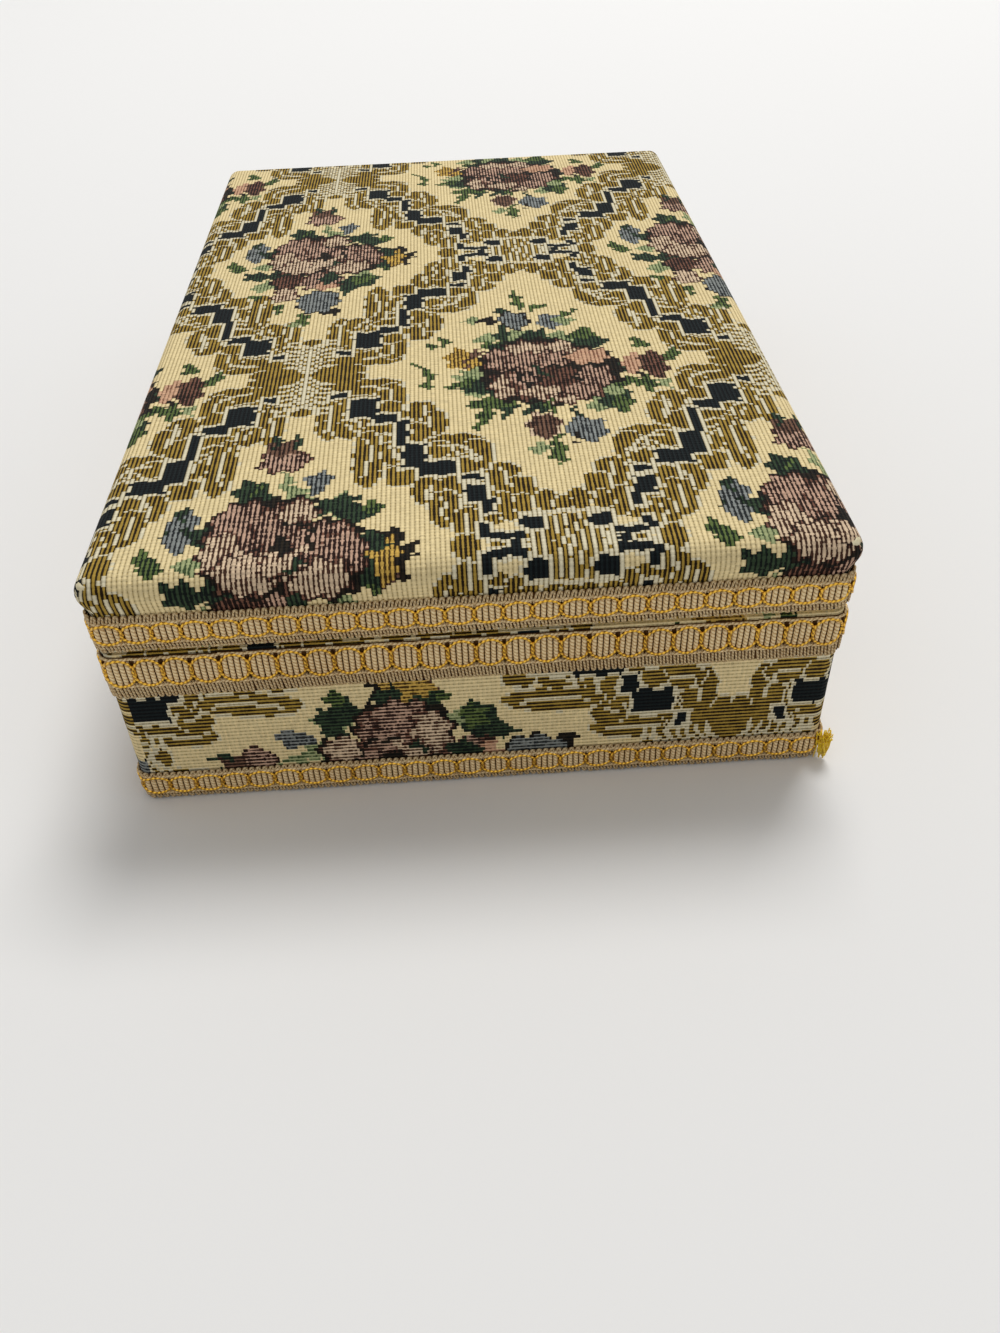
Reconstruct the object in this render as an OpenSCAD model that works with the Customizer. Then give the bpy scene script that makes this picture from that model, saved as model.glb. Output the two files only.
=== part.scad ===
// Brocade keepsake box with a hinged, padded lid.
// Millimetres. The origin is under the middle of the closed box, on the table.
// X runs across the box, Y along it, Z up. The hinge is on the left long side, at -X.

/* [Box] */
// Width of the box over its cloth
box_w = 160; // [120:1:200]
// Length of the box over its cloth
box_l = 260; // [180:1:320]
// Height of the base's rim above the table
base_h = 44; // [34:1:60]
// Radius of the upright corners over the cloth
corner_r = 3; // [2:0.5:5]

/* [Boards] */
// Thickness of the wall boards of base and lid
board_t = 3; // [2:0.5:4]
// Thickness of the floor board
floor_t = 2.5; // [2:0.5:4]
// Height of the lid's rim boards
lid_rim_h = 11; // [10:0.5:20]
// Thickness of the lid's top board
lid_board_t = 2.5; // [2:0.5:4]
// Thickness of the paper under the floor
paper_t = 0.5; // [0.3:0.1:1]
// How far the paper's edge stays inside the box's edge
paper_inset = 2; // [1:0.5:6]

/* [Outer cloth and padding] */
// Thickness of the brocade
cloth_t = 0.8; // [0.5:0.1:1.2]
// Thickness of the lid's foam at its middle
foam_t = 5; // [4.5:0.5:9]
// How much of the foam's thickness is its crown
crown = 2; // [1:0.25:3]
// How far the foam swells past the boards
bulge = 1.2; // [0.4:0.1:1.5]
// Corner radius that the boards have more than the cloth
board_corner_ease = 0.5; // [0.3:0.1:1]

/* [Braid] */
// Thickness of the braid
braid_t = 1.3; // [0.8:0.1:2]
// Width of the braid under the base's rim
rim_braid_w = 11.8; // [8:0.1:14]
// Visible width of the braid at the base's foot
foot_braid_w = 8.4; // [6:0.1:12]
// Visible width of the braid on the lid
lid_braid_w = 9.6; // [7:0.1:10]
// Distance of a braid from the edge that it follows
braid_edge = 0.2; // [0.1:0.1:1]
// Gap between the two cut ends of a braid
braid_seam = 0.6; // [0.3:0.1:2]
// Radius of the frayed tuft at the foot braid's end
tuft_r = 1.2; // [0.8:0.1:2]

/* [Lining] */
// Thickness of a satin covered lining card
lining_t = 1.2; // [0.8:0.1:2]
// How far a lining card ends short of the rim
lining_drop = 2; // [1:0.5:6]
// Thickness of the floor pad at its edge
pad_edge_t = 3; // [2:0.5:6]
// Crown of the floor pad above its edge
pad_crown = 1.6; // [0.5:0.1:3]
// Gap between the floor pad and the lining cards
pad_clear = 0.4; // [0.2:0.1:1.5]

/* [Hinge] */
// Thickness of the hinge cloth
hinge_t = 0.3; // [0.2:0.05:0.4]
// Height of each leaf of hinge cloth inside the walls
hinge_leaf_h = 9; // [6:0.5:10]
// Gap between the two leaves when the lid is closed
leaf_gap = 0.3; // [0.2:0.05:0.6]
// Distance of the fold from the outermost face beside it
hinge_clear = 0.3; // [0.2:0.05:0.8]

/* [Hidden] */
$fn = 48;
// Excess length of a cutting shape
over = 1;

half_w = box_w / 2;
half_l = box_l / 2;
// Boards start inside the cloth, and the lining cards inside boards and hinge cloth
wall_in = cloth_t + board_t;
card_in = wall_in + hinge_t;
room_in = card_in + lining_t;

// Heights in the base, from the table up
board_z = paper_t;
floor_top = board_z + floor_t;
board_top = base_h - cloth_t;
card_top = base_h - lining_drop;

// Heights in the lid
lid_z = base_h + 2 * hinge_t + leaf_gap;
rim_z = lid_z + cloth_t;
rim_top = rim_z + lid_rim_h;
foam_z = rim_top + lid_board_t;
edge_r = foam_t - crown + cloth_t;
flank_z = lid_z + braid_edge + lid_braid_w;
lid_card_z = lid_z + lining_drop;
lid_card_top = rim_top - lining_t;

// The fold of the hinge cloth is the axis of the lid
fold_x = -(half_w + max(bulge, braid_t) + hinge_clear);
leaf_edge = fold_x + hinge_clear;

// Steps of the modelled soft forms
corner_steps = 4;
flank_steps = 4;
arc_step = 15;
crown_steps = 5;
// Half width of the flat strip along the middle of a crown
ridge = 4;
// Smallest corner radius of a ring of a soft form
least_r = 1;

// A closed outline of the box, grown by g, with corners of radius r
module outline(g, r) {
    w = box_w + 2 * g;
    l = box_l + 2 * g;
    square([w - 2 * r, l], center = true);
    square([w, l - 2 * r], center = true);
    for (sx = [-1, 1], sy = [-1, 1])
        translate([sx * (w / 2 - r), sy * (l / 2 - r)]) circle(r);
}

module slab(g, r, z0, z1) {
    translate([0, 0, z0]) linear_extrude(z1 - z0) outline(g, r);
}

// A straight block between two corners
module block(low, high) {
    translate(low) cube(high - low);
}

// A board, kept inside the cloth's rounded corners
module board(low, high) {
    intersection() {
        block(low, high);
        slab(-cloth_t, corner_r + board_corner_ease, low[2] - over, high[2] + over);
    }
}

// Four walls stand round the box: the long ones on X, the short ones between them
module long_wall(side, g0, g1, z0, z1) {
    x0 = side > 0 ? half_w - g1 : -(half_w - g0);
    x1 = side > 0 ? half_w - g0 : -(half_w - g1);
    board([x0, -(half_l - g0), z0], [x1, half_l - g0, z1]);
}

module short_wall(side, g0, g1, z0, z1) {
    y0 = side > 0 ? half_l - g1 : -(half_l - g0);
    y1 = side > 0 ? half_l - g0 : -(half_l - g1);
    board([-(half_w - g1), y0, z0], [half_w - g1, y1, z1]);
}

// Places a child at the centre of the front right corner, turned so that +X leaves it
module at_cut_corner(z) {
    translate([half_w - corner_r, corner_r - half_l, z]) rotate(-45) children();
}

// A band of braid round the box, its cut ends apart by seam at the front right corner
module braid_band(z0, w, seam) {
    difference() {
        slab(braid_t, corner_r + braid_t, z0, z0 + w);
        slab(0, corner_r, z0 - over, z0 + w + over);
        at_cut_corner(z0 - over)
            translate([0, -seam / 2, 0]) cube([corner_r + braid_t + over, seam, w + 2 * over]);
    }
}

// One ring of a soft form: a rounded rectangle, counterclockwise
function ring(hw, hl, r, z) = [
    for (q = [0:3], i = [0:corner_steps])
        let (
            sx = (q == 0 || q == 3) ? 1 : -1,
            sy = q < 2 ? 1 : -1,
            a = 90 * q + 90 * i / corner_steps
        )
        [sx * (hw - r) + r * cos(a), sy * (hl - r) + r * sin(a), z]
];
ring_n = 4 * (corner_steps + 1);

// A ring that follows the lid's outline, grown by g
function lid_ring(g, z) = ring(half_w + g, half_l + g, max(corner_r + g, corner_r), z);

function strip(a, b, flip) = [
    for (i = [0:ring_n - 1])
        let (j = (i + 1) % ring_n)
        flip ? [a + i, a + j, b + j, b + i] : [a + i, b + i, b + j, a + j]
];
function flat(lists) = [for (part = lists) for (item = part) item];
function up() = [for (i = [0:ring_n - 1]) i];
function down() = [for (i = [0:ring_n - 1]) ring_n - 1 - i];

// A closed form through rings from its bottom to its top
module lofted(rings) {
    m = len(rings);
    sides = flat([for (k = [0:m - 2]) strip(k * ring_n, (k + 1) * ring_n, false)]);
    cap = [for (i = down()) (m - 1) * ring_n + i];
    polyhedron(flat(rings), concat([up()], sides, [cap]));
}

// A hood that is open below, between outer and inner rings
module hood(outer, inner) {
    m = len(outer);
    n = len(inner);
    first = m * ring_n;
    sides = flat([for (k = [0:m - 2]) strip(k * ring_n, (k + 1) * ring_n, false)]);
    inside = flat([for (k = [0:n - 2]) strip(first + k * ring_n, first + (k + 1) * ring_n, true)]);
    hem = [for (face = strip(0, first, true)) face];
    cap = [for (i = down()) (m - 1) * ring_n + i];
    ceiling = [for (i = up()) first + (n - 1) * ring_n + i];
    polyhedron(concat(flat(outer), flat(inner)), concat(sides, inside, hem, [cap, ceiling]));
}

// The lid's padded form, t inside its outer face: flank, rounded edge and crown
function flank(t) = [
    for (i = [0:flank_steps])
        lid_ring(
            bulge * (1 - cos(180 * i / flank_steps)) / 2 - t,
            flank_z + (foam_z - flank_z) * i / flank_steps
        )
];
function rounded_edge(t) = [
    for (a = [arc_step:arc_step:90])
        lid_ring(bulge - t - (edge_r - t) * (1 - cos(a)), foam_z + (edge_r - t) * sin(a))
];
crown_reach = half_w + bulge - edge_r - ridge;
function crowned_top(t) = [
    for (k = [1:crown_steps])
        let (s = k / crown_steps)
        lid_ring(
            bulge - edge_r - crown_reach * s * s,
            foam_z + edge_r - t + crown * (1 - (1 - s * s) * (1 - s * s))
        )
];

module base_floor_board() {
    color([0.62, 0.58, 0.52])
        block([-(half_w - wall_in), -(half_l - wall_in), board_z], [half_w - wall_in, half_l - wall_in, floor_top]);
}

module base_front_board() {
    color([0.64, 0.60, 0.54]) short_wall(-1, cloth_t, wall_in, board_z, board_top);
}

module base_back_board() {
    color([0.64, 0.60, 0.54]) short_wall(1, cloth_t, wall_in, board_z, board_top);
}

module base_left_board() {
    color([0.66, 0.62, 0.56]) long_wall(-1, cloth_t, wall_in, board_z, board_top);
}

module base_right_board() {
    color([0.66, 0.62, 0.56]) long_wall(1, cloth_t, wall_in, board_z, board_top);
}

module base_underside_paper() {
    color([0.90, 0.86, 0.76]) slab(-paper_inset, corner_r, 0, paper_t);
}

// The brocade round the base, turned in over the tops of the boards
module base_cover_cloth() {
    color([0.86, 0.78, 0.56])
        difference() {
            slab(0, corner_r, board_z, base_h);
            slab(-cloth_t, corner_r, board_z - over, board_top);
            block(
                [-(half_w - wall_in), -(half_l - wall_in), board_z],
                [half_w - wall_in, half_l - wall_in, base_h + over]
            );
        }
}

module base_card(side, along_y) {
    if (along_y)
        long_wall(side, card_in, room_in, floor_top, card_top);
    else
        short_wall(side, card_in, room_in, floor_top, card_top);
}

module base_lining_front() {
    color([0.93, 0.86, 0.68]) base_card(-1, false);
}

module base_lining_back() {
    color([0.93, 0.86, 0.68]) base_card(1, false);
}

module base_lining_left() {
    color([0.92, 0.84, 0.66]) base_card(-1, true);
}

module base_lining_right() {
    color([0.92, 0.84, 0.66]) base_card(1, true);
}

// A thin cushion on the floor, round at its edge and crowned in the middle
module base_floor_pad() {
    hw = half_w - room_in - pad_clear;
    hl = half_l - room_in - pad_clear;
    edge = pad_edge_t / 2;
    side = [
        for (a = [-90:30:90])
            ring(hw - edge * (1 - cos(a)), hl - edge * (1 - cos(a)), corner_r, floor_top + edge + edge * sin(a))
    ];
    top = [
        for (k = [1:crown_steps])
            let (s = k / crown_steps, d = edge + (hw - edge - ridge) * s * s)
            ring(
                hw - d, hl - d, max(min(corner_r, hw - d - least_r), least_r),
                floor_top + pad_edge_t + pad_crown * (1 - (1 - s * s) * (1 - s * s))
            )
    ];
    color([0.94, 0.88, 0.70]) lofted(concat(side, top));
}

module base_rim_braid() {
    color([0.78, 0.66, 0.42]) braid_band(base_h - braid_edge - rim_braid_w, rim_braid_w, braid_seam);
}

module base_foot_braid() {
    color([0.76, 0.62, 0.38]) braid_band(braid_edge, foot_braid_w, 2 * tuft_r + braid_seam);
}

// Loose yellow yarn between the cut ends of the foot braid
module foot_braid_tuft() {
    color([0.93, 0.78, 0.12])
        at_cut_corner(braid_edge)
            translate([corner_r + tuft_r, 0, 0]) cylinder(r = tuft_r, h = foot_braid_w);
}

// One leaf of the hinge cloth, over a rim and down its inner face
module hinge_leaf(rim_face, direction) {
    inner = -(half_w - wall_in);
    end_y = half_l - wall_in - lining_t;
    far = rim_face + direction * hinge_t;
    tail = rim_face - direction * hinge_leaf_h;
    block([leaf_edge, -end_y, min(rim_face, far)], [inner + hinge_t, end_y, max(rim_face, far)]);
    block([inner, -end_y, min(tail, far)], [inner + hinge_t, end_y, max(tail, far)]);
}

module hinge_cloth_base_leaf() {
    color([0.80, 0.72, 0.52]) hinge_leaf(base_h, 1);
}

module lid_top_board() {
    color([0.62, 0.58, 0.52]) slab(-cloth_t, corner_r + board_corner_ease, rim_top, foam_z);
}

module lid_front_rim() {
    color([0.64, 0.60, 0.54]) short_wall(-1, cloth_t, wall_in, rim_z, rim_top);
}

module lid_back_rim() {
    color([0.64, 0.60, 0.54]) short_wall(1, cloth_t, wall_in, rim_z, rim_top);
}

module lid_left_rim() {
    color([0.66, 0.62, 0.56]) long_wall(-1, cloth_t, wall_in, rim_z, rim_top);
}

module lid_right_rim() {
    color([0.66, 0.62, 0.56]) long_wall(1, cloth_t, wall_in, rim_z, rim_top);
}

// Foam over the top board, rolled over its edge
module lid_foam_pad() {
    foot = lid_ring(bulge - cloth_t, foam_z);
    color([0.95, 0.93, 0.80]) lofted(concat([foot], rounded_edge(cloth_t), crowned_top(cloth_t)));
}

// The brocade over the lid, turned in under the rim boards
module lid_cover_cloth() {
    outer = concat([lid_ring(0, lid_z)], flank(0), rounded_edge(0), crowned_top(0));
    turned = [
        lid_ring(-wall_in, lid_z),
        lid_ring(-wall_in, rim_z),
        lid_ring(-cloth_t, rim_z)
    ];
    inner = concat(turned, flank(cloth_t), rounded_edge(cloth_t), crowned_top(cloth_t));
    color([0.90, 0.83, 0.62]) hood(outer, inner);
}

module lid_lining_top() {
    color([0.94, 0.88, 0.70])
        block(
            [-(half_w - card_in), -(half_l - card_in), lid_card_top],
            [half_w - card_in, half_l - card_in, rim_top]
        );
}

module lid_card(side, along_y) {
    if (along_y)
        long_wall(side, card_in, room_in, lid_card_z, lid_card_top);
    else
        short_wall(side, card_in, room_in, lid_card_z, lid_card_top);
}

module lid_lining_front() {
    color([0.93, 0.86, 0.68]) lid_card(-1, false);
}

module lid_lining_back() {
    color([0.93, 0.86, 0.68]) lid_card(1, false);
}

module lid_lining_left() {
    color([0.92, 0.84, 0.66]) lid_card(-1, true);
}

module lid_lining_right() {
    color([0.92, 0.84, 0.66]) lid_card(1, true);
}

module lid_braid() {
    color([0.80, 0.68, 0.44]) braid_band(lid_z + braid_edge, lid_braid_w, braid_seam);
}

module hinge_cloth_lid_leaf() {
    color([0.80, 0.72, 0.52]) hinge_leaf(lid_z, -1);
}

base_floor_board();
base_front_board();
base_back_board();
base_left_board();
base_right_board();
base_underside_paper();
base_cover_cloth();
base_lining_front();
base_lining_back();
base_lining_left();
base_lining_right();
base_floor_pad();
base_rim_braid();
base_foot_braid();
foot_braid_tuft();
hinge_cloth_base_leaf();
lid_top_board();
lid_front_rim();
lid_back_rim();
lid_left_rim();
lid_right_rim();
lid_foam_pad();
lid_cover_cloth();
lid_lining_top();
lid_lining_front();
lid_lining_back();
lid_lining_left();
lid_lining_right();
lid_braid();
hinge_cloth_lid_leaf();
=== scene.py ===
# %% [markdown]
# A keepsake box covered in floral brocade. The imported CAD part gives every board, lining card and
# hinge leaf at its real size. This scene adds what cloth and thread do: the woven pattern, the
# padded lid, three rows of gold-looped braid, and the satin inside.

# %% Load the frame
import math

import bmesh
import bpy
import numpy as np
from mathutils import Matrix, Vector


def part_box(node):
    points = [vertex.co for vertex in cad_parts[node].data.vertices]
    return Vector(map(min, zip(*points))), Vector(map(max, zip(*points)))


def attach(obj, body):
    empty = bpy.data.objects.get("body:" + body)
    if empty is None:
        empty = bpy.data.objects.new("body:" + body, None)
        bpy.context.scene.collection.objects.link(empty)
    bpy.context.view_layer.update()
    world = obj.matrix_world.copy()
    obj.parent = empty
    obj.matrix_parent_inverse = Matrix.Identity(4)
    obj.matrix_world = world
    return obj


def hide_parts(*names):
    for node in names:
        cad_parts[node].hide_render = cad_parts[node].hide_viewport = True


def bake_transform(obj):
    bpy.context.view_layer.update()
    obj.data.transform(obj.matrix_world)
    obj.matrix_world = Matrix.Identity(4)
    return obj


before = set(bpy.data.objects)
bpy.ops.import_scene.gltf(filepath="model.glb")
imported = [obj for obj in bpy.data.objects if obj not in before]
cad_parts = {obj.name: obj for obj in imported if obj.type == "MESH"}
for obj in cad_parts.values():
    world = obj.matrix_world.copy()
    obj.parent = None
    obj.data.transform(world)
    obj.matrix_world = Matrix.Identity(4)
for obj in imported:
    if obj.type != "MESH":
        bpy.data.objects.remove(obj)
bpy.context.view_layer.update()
MM = 0.001

# %% [markdown]
# Sizes come from the CAD nodes, so the cloth follows the boards if these change. The camera stands
# before the short near end and looks down about 41 degrees, as in the photo.

# %% Sizes and the camera
cover_low, cover_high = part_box("base_cover_cloth")
lid_low, lid_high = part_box("lid_cover_cloth")
rim_braid_low, rim_braid_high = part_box("base_rim_braid")
foot_braid_low, foot_braid_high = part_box("base_foot_braid")
lid_braid_low, lid_braid_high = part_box("lid_braid")
HALF_W = cover_high.x / MM
HALF_L = cover_high.y / MM
BASE_H = cover_high.z / MM
LID_Z = lid_low.z / MM
TOP_Z = lid_high.z / MM
BULGE = lid_high.x / MM - HALF_W
BRAID_TOP = lid_braid_high.z / MM
print("half width, half length, base and lid tops:", HALF_W, HALF_L, BASE_H, TOP_Z)


def add_object(name, data):
    """An object in the scene, for a mesh, a camera or a light."""
    made = bpy.data.objects.new(name, data)
    bpy.context.scene.collection.objects.link(made)
    return made


camera_data = bpy.data.cameras.new("camera")
camera = add_object("camera", camera_data)
bpy.context.scene.camera = camera
camera_data.lens = 30.18
camera_data.sensor_width = 36
camera_data.clip_start = 0.01
look = Vector((0.024855, 0.754446, -0.655891)).normalized()
right = Vector((0.99785, -0.0585, -0.0295))
right = (right - look * right.dot(look)).normalized()
above = right.cross(look)
turn = Matrix((right, above, -look)).transposed().to_4x4()
camera.matrix_world = Matrix.Translation((-0.00118, -0.31418, 0.19449)) @ turn
print("camera looks down", round(math.degrees(math.asin(-look.z)), 1), "degrees")

# %% [markdown]
# Shader maths reads like school algebra here: the class below wraps a socket, so that an
# expression such as 1 - mask adds its own Math node.

# %% A small class for shader maths


class Shade:
    """A socket in a material's node tree, with arithmetic."""

    def __init__(self, tree, socket):
        self.tree = tree
        self.socket = socket

    def node(self, kind, settings=None, **values):
        made = self.tree.nodes.new("ShaderNode" + kind)
        for name, value in (settings or {}).items():
            setattr(made, name, value)
        for name, value in values.items():
            key = int(name[1:]) if name[0] == "i" and name[1:].isdigit() else name
            put(self.tree, made.inputs[key], value)
        return made

    def maths(self, operation, *values):
        made = self.tree.nodes.new("ShaderNodeMath")
        made.operation = operation
        for place, value in enumerate(values):
            put(self.tree, made.inputs[place], value)
        return Shade(self.tree, made.outputs[0])

    def __add__(self, other):
        return self.maths("ADD", self, other)

    __radd__ = __add__

    def __sub__(self, other):
        return self.maths("SUBTRACT", self, other)

    def __rsub__(self, other):
        return self.maths("SUBTRACT", other, self)

    def __mul__(self, other):
        return self.maths("MULTIPLY", self, other)

    __rmul__ = __mul__

    def noise(self, spot, scale, detail=2):
        made = self.node("TexNoise", Vector=spot, Scale=scale, Detail=detail)
        return Shade(self.tree, made.outputs["Fac"])

    def uv(self, name):
        """A named UV map, whole and as its two coordinates."""
        whole = self.node("UVMap", {"uv_map": name}).outputs[0]
        split = self.node("SeparateXYZ", i0=whole).outputs
        return whole, Shade(self.tree, split[0]), Shade(self.tree, split[1])

    def ramp(self, low, high):
        """0 below low, 1 above high, smooth between."""
        smooth = {"interpolation_type": "SMOOTHSTEP"}
        return Shade(self.tree, self.node("MapRange", smooth, i0=self, i1=low, i2=high).outputs[0])

    def wave(self, cycles=1.0):
        """A triangle from 0 to 1 and back, once for each whole number of self times cycles."""
        from_middle = self.maths("FRACT", self * cycles) - 0.5
        return 1 - self.maths("ABSOLUTE", from_middle) * 2


def put(tree, place, value):
    """Sets a socket's value, or links a Shade or a socket to it."""
    if isinstance(value, Shade):
        value = value.socket
    if isinstance(value, bpy.types.NodeSocket):
        tree.links.new(value, place)
    else:
        place.default_value = value


def mix(start, a, b, share):
    """Colour a, turning into colour b as share goes from 0 to 1."""
    made = start.tree.nodes.new("ShaderNodeMix")
    made.data_type = "RGBA"
    put(start.tree, made.inputs["Factor"], share)
    put(start.tree, made.inputs[6], a)
    put(start.tree, made.inputs[7], b)
    return Shade(start.tree, made.outputs[2])


def sunlit(r, g, b):
    """A colour as seen on screen, 0 to 255, in the linear numbers that a shader takes."""
    parts = [c / 255 for c in (r, g, b)]
    return tuple(c / 12.92 if c <= 0.04045 else ((c + 0.055) / 1.055) ** 2.4 for c in parts) + (1,)


def new_material(name, roughness=0.8, sheen=0.0, metallic=0.0, gloss=0.5):
    """A material, and a Shade that stands for its tree."""
    made = bpy.data.materials.new(name)
    made.use_nodes = True
    tree = made.node_tree
    surface = tree.nodes["Principled BSDF"]
    surface.inputs["Roughness"].default_value = roughness
    surface.inputs["Metallic"].default_value = metallic
    surface.inputs["Sheen Weight"].default_value = sheen
    surface.inputs["Specular IOR Level"].default_value = gloss
    return made, Shade(tree, surface.outputs[0]), surface


def bump(start, surface, height, distance, strength=1.0):
    made = start.node("Bump", Strength=strength, Distance=distance, Height=height)
    put(start.tree, surface.inputs["Normal"], made.outputs[0])


# %% [markdown]
# The brocade is designed as a weaver draws it on point paper: a grid of stitches, each filled with
# one yarn effect. The trellis is symmetric, so one quarter of it is drawn and folded out. The two
# bouquets are drawn whole, petal by petal, from ellipses.

# %% Yarn effects
# one repeat of the pattern in mm, and its stitches across and along
TILE_W = 118.0
TILE_L = 155.4
STITCH = TILE_W / 114
ROW = TILE_L / 300

# light yarn, dark yarn (partly painted shade in the groove beside each rib), share of the dark yarn
EFFECTS = {
    # the ground's dark yarn is all painted shade: the faint lines between its cream ribs
    "ground": ((238, 217, 165), (204, 178, 120), 0.13),
    "gold": ((170, 140, 62), (40, 28, 12), 0.50),
    "ribbon": ((22, 29, 30), (12, 15, 17), 0.50),
    "pale": ((226, 216, 184), (170, 154, 116), 0.22),
    "rose": ((198, 162, 138), (46, 28, 24), 0.52),
    "blush": ((220, 194, 162), (76, 50, 38), 0.42),
    "wine": ((118, 82, 66), (34, 22, 18), 0.64),
    "dark": ((38, 32, 24), (18, 17, 15), 0.50),
    "peach": ((206, 164, 132), (140, 96, 74), 0.25),
    "leaf": ((96, 112, 62), (26, 38, 26), 0.50),
    "mint": ((162, 170, 122), (70, 88, 56), 0.34),
    "pine": ((52, 68, 48), (20, 28, 24), 0.52),
    "blue": ((136, 140, 136), (42, 46, 48), 0.46),
    "yellow": ((206, 168, 82), (78, 56, 24), 0.42),
    "brown": ((118, 88, 70), (42, 28, 24), 0.52),
}
LEAVES = ("leaf", "mint", "pine")
NAMES = list(EFFECTS)
CODE = {name: place for place, name in enumerate(NAMES)}


class Paper:
    """A sheet of point paper: the effect of each stitch, at its place in mm on the cloth."""

    def __init__(self, x, y, wander):
        self.x = x + 0.7 * wander * np.sin(1.1 * y + 2.0 * np.sin(0.5 * x))
        self.y = y + 0.9 * wander * np.sin(1.3 * x + 1.7 * np.sin(0.6 * y))
        self.codes = np.zeros(x.shape, np.int32)

    def oval(self, effect, cx, cy, rx, ry, turn=0, power=None):
        power = power or (1.35 if effect in LEAVES else 2.0)
        a = math.radians(turn)
        u = (self.x - cx) * math.cos(a) + (self.y - cy) * math.sin(a)
        v = (self.y - cy) * math.cos(a) - (self.x - cx) * math.sin(a)
        inside = np.abs(u / rx) ** power + np.abs(v / ry) ** power < 1
        self.codes[inside] = CODE[effect]

    def block(self, effect, x0, x1, y0, y1):
        inside = (self.x >= x0) & (self.x < x1) & (self.y >= y0) & (self.y < y1)
        self.codes[inside] = CODE[effect]

    def line(self, effect, width, *points):
        for (ax, ay), (bx, by) in zip(points, points[1:]):
            dx, dy = bx - ax, by - ay
            t = ((self.x - ax) * dx + (self.y - ay) * dy) / (dx * dx + dy * dy + 1e-9)
            t = np.clip(t, 0, 1)
            far = np.hypot(self.x - ax - t * dx, self.y - ay - t * dy)
            self.codes[far < width / 2] = CODE[effect]

    def edged(self, effect, edge, grow, cx, cy, rx, ry, turn=0, power=None):
        """An oval with a rim of another effect round it."""
        self.oval(edge, cx, cy, rx + grow, ry + grow, turn, power)
        self.oval(effect, cx, cy, rx, ry, turn, power)

    def draw(self, shapes):
        """Draws shapes from back to front. Two yarns mark an edged oval, and points a line."""
        for shape in shapes:
            if isinstance(shape[1], str):
                self.edged(*shape)
            elif isinstance(shape[2], tuple):
                self.line(*shape)
            else:
                self.oval(*shape)


print(len(EFFECTS), "yarn effects")

# %% [markdown]
# The trellis: a black ribbon that steps from the rosette to the bracket, with gold scrolls and
# leaves on both sides. A pale yarn outlines the ribbon and parts the scrolls.

# %% The trellis
RIBBON = [
    (6.6, 10.6, 10.2, 13.4), (11.1, 18.6, 14, 24), (17, 23.5, 22.5, 27), (23, 25.9, 26, 38),
    (24.3, 30, 37.2, 47.7), (28, 36.8, 45, 51.3), (37.5, 42.5, 51.2, 54), (38, 43, 55.5, 62.7),
    (41.6, 44.6, 61, 67), (40.4, 43, 70.3, 75), (42, 50, 73.6, 76.4), (46.5, 49.4, 76, 79),
    (49.3, 54.2, 68.6, 73.4),
]
RIBBON_MIDDLE = [
    (8.6, 11.8), (15, 19), (20, 25), (24.5, 32), (27, 42), (33, 48), (40, 53), (41, 59), (43, 64)
]
SCROLLS = [
    # outer side of the ribbon, seen from the rosette
    (17.2, 8.2, 6.8, 3.9), (21.6, 14.2, 3.4, 6.6), (11, 2, 3.6, 2.2), (20.6, 19.6, 3.6, 2.9),
    (29, 22.2, 3.2, 4.6), (32, 28.2, 2.9, 5.4), (28.4, 32, 2.6, 4),
    (36.8, 37.6, 6, 3.4), (41.4, 43.4, 3.4, 6.2), (33, 40.4, 2.4, 3.4),
    (39, 47.2, 3.2, 3.8), (47.2, 53.4, 3.2, 5.6), (50.8, 57.6, 2.6, 3.8),
    (55.6, 63.4, 2.4, 3.8), (59, 64.6, 1.8, 2.8), (46.8, 64.6, 2.2, 5),
    (50.2, 64, 1.8, 3.2),
    # inner side
    (9.6, 17.6, 4, 3.4), (6.9, 24, 2.8, 8.8), (11.5, 29.2, 2.8, 3.8), (0, 19.2, 2.4, 2.2),
    (19.4, 31.6, 4.6, 3.4), (16.6, 42.6, 3, 11), (22.2, 41, 2.2, 4.6),
    (24.2, 50.4, 3.2, 3.9), (30, 57, 3.2, 4.8), (35.4, 56.2, 2.6, 3.8),
    (33.6, 64.2, 3, 6.2), (38.2, 70.4, 2.6, 5.6), (37.6, 76.4, 2.4, 2.8),
    (44.6, 79, 2.2, 2.2),
]
VEINS = [
    ((14, 7.4), (21, 9.6), (22, 15)), ((29.6, 20), (31, 30)), ((33, 38.6), (39, 39.6), (41, 46)),
    ((46.6, 50), (48, 57)), ((7, 17.4), (6.6, 30)), ((16, 34), (17.4, 40), (15.8, 50)),
    ((18, 32), (23, 32.6)), ((31, 55), (30, 60)), ((33.4, 60), (33.4, 68)), ((38, 67), (38.4, 74)),
    ((42.6, 45), (38, 44.4)), ((21.6, 38), (23.4, 43)), ((11.4, 27.6), (13, 30)),
]


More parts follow.
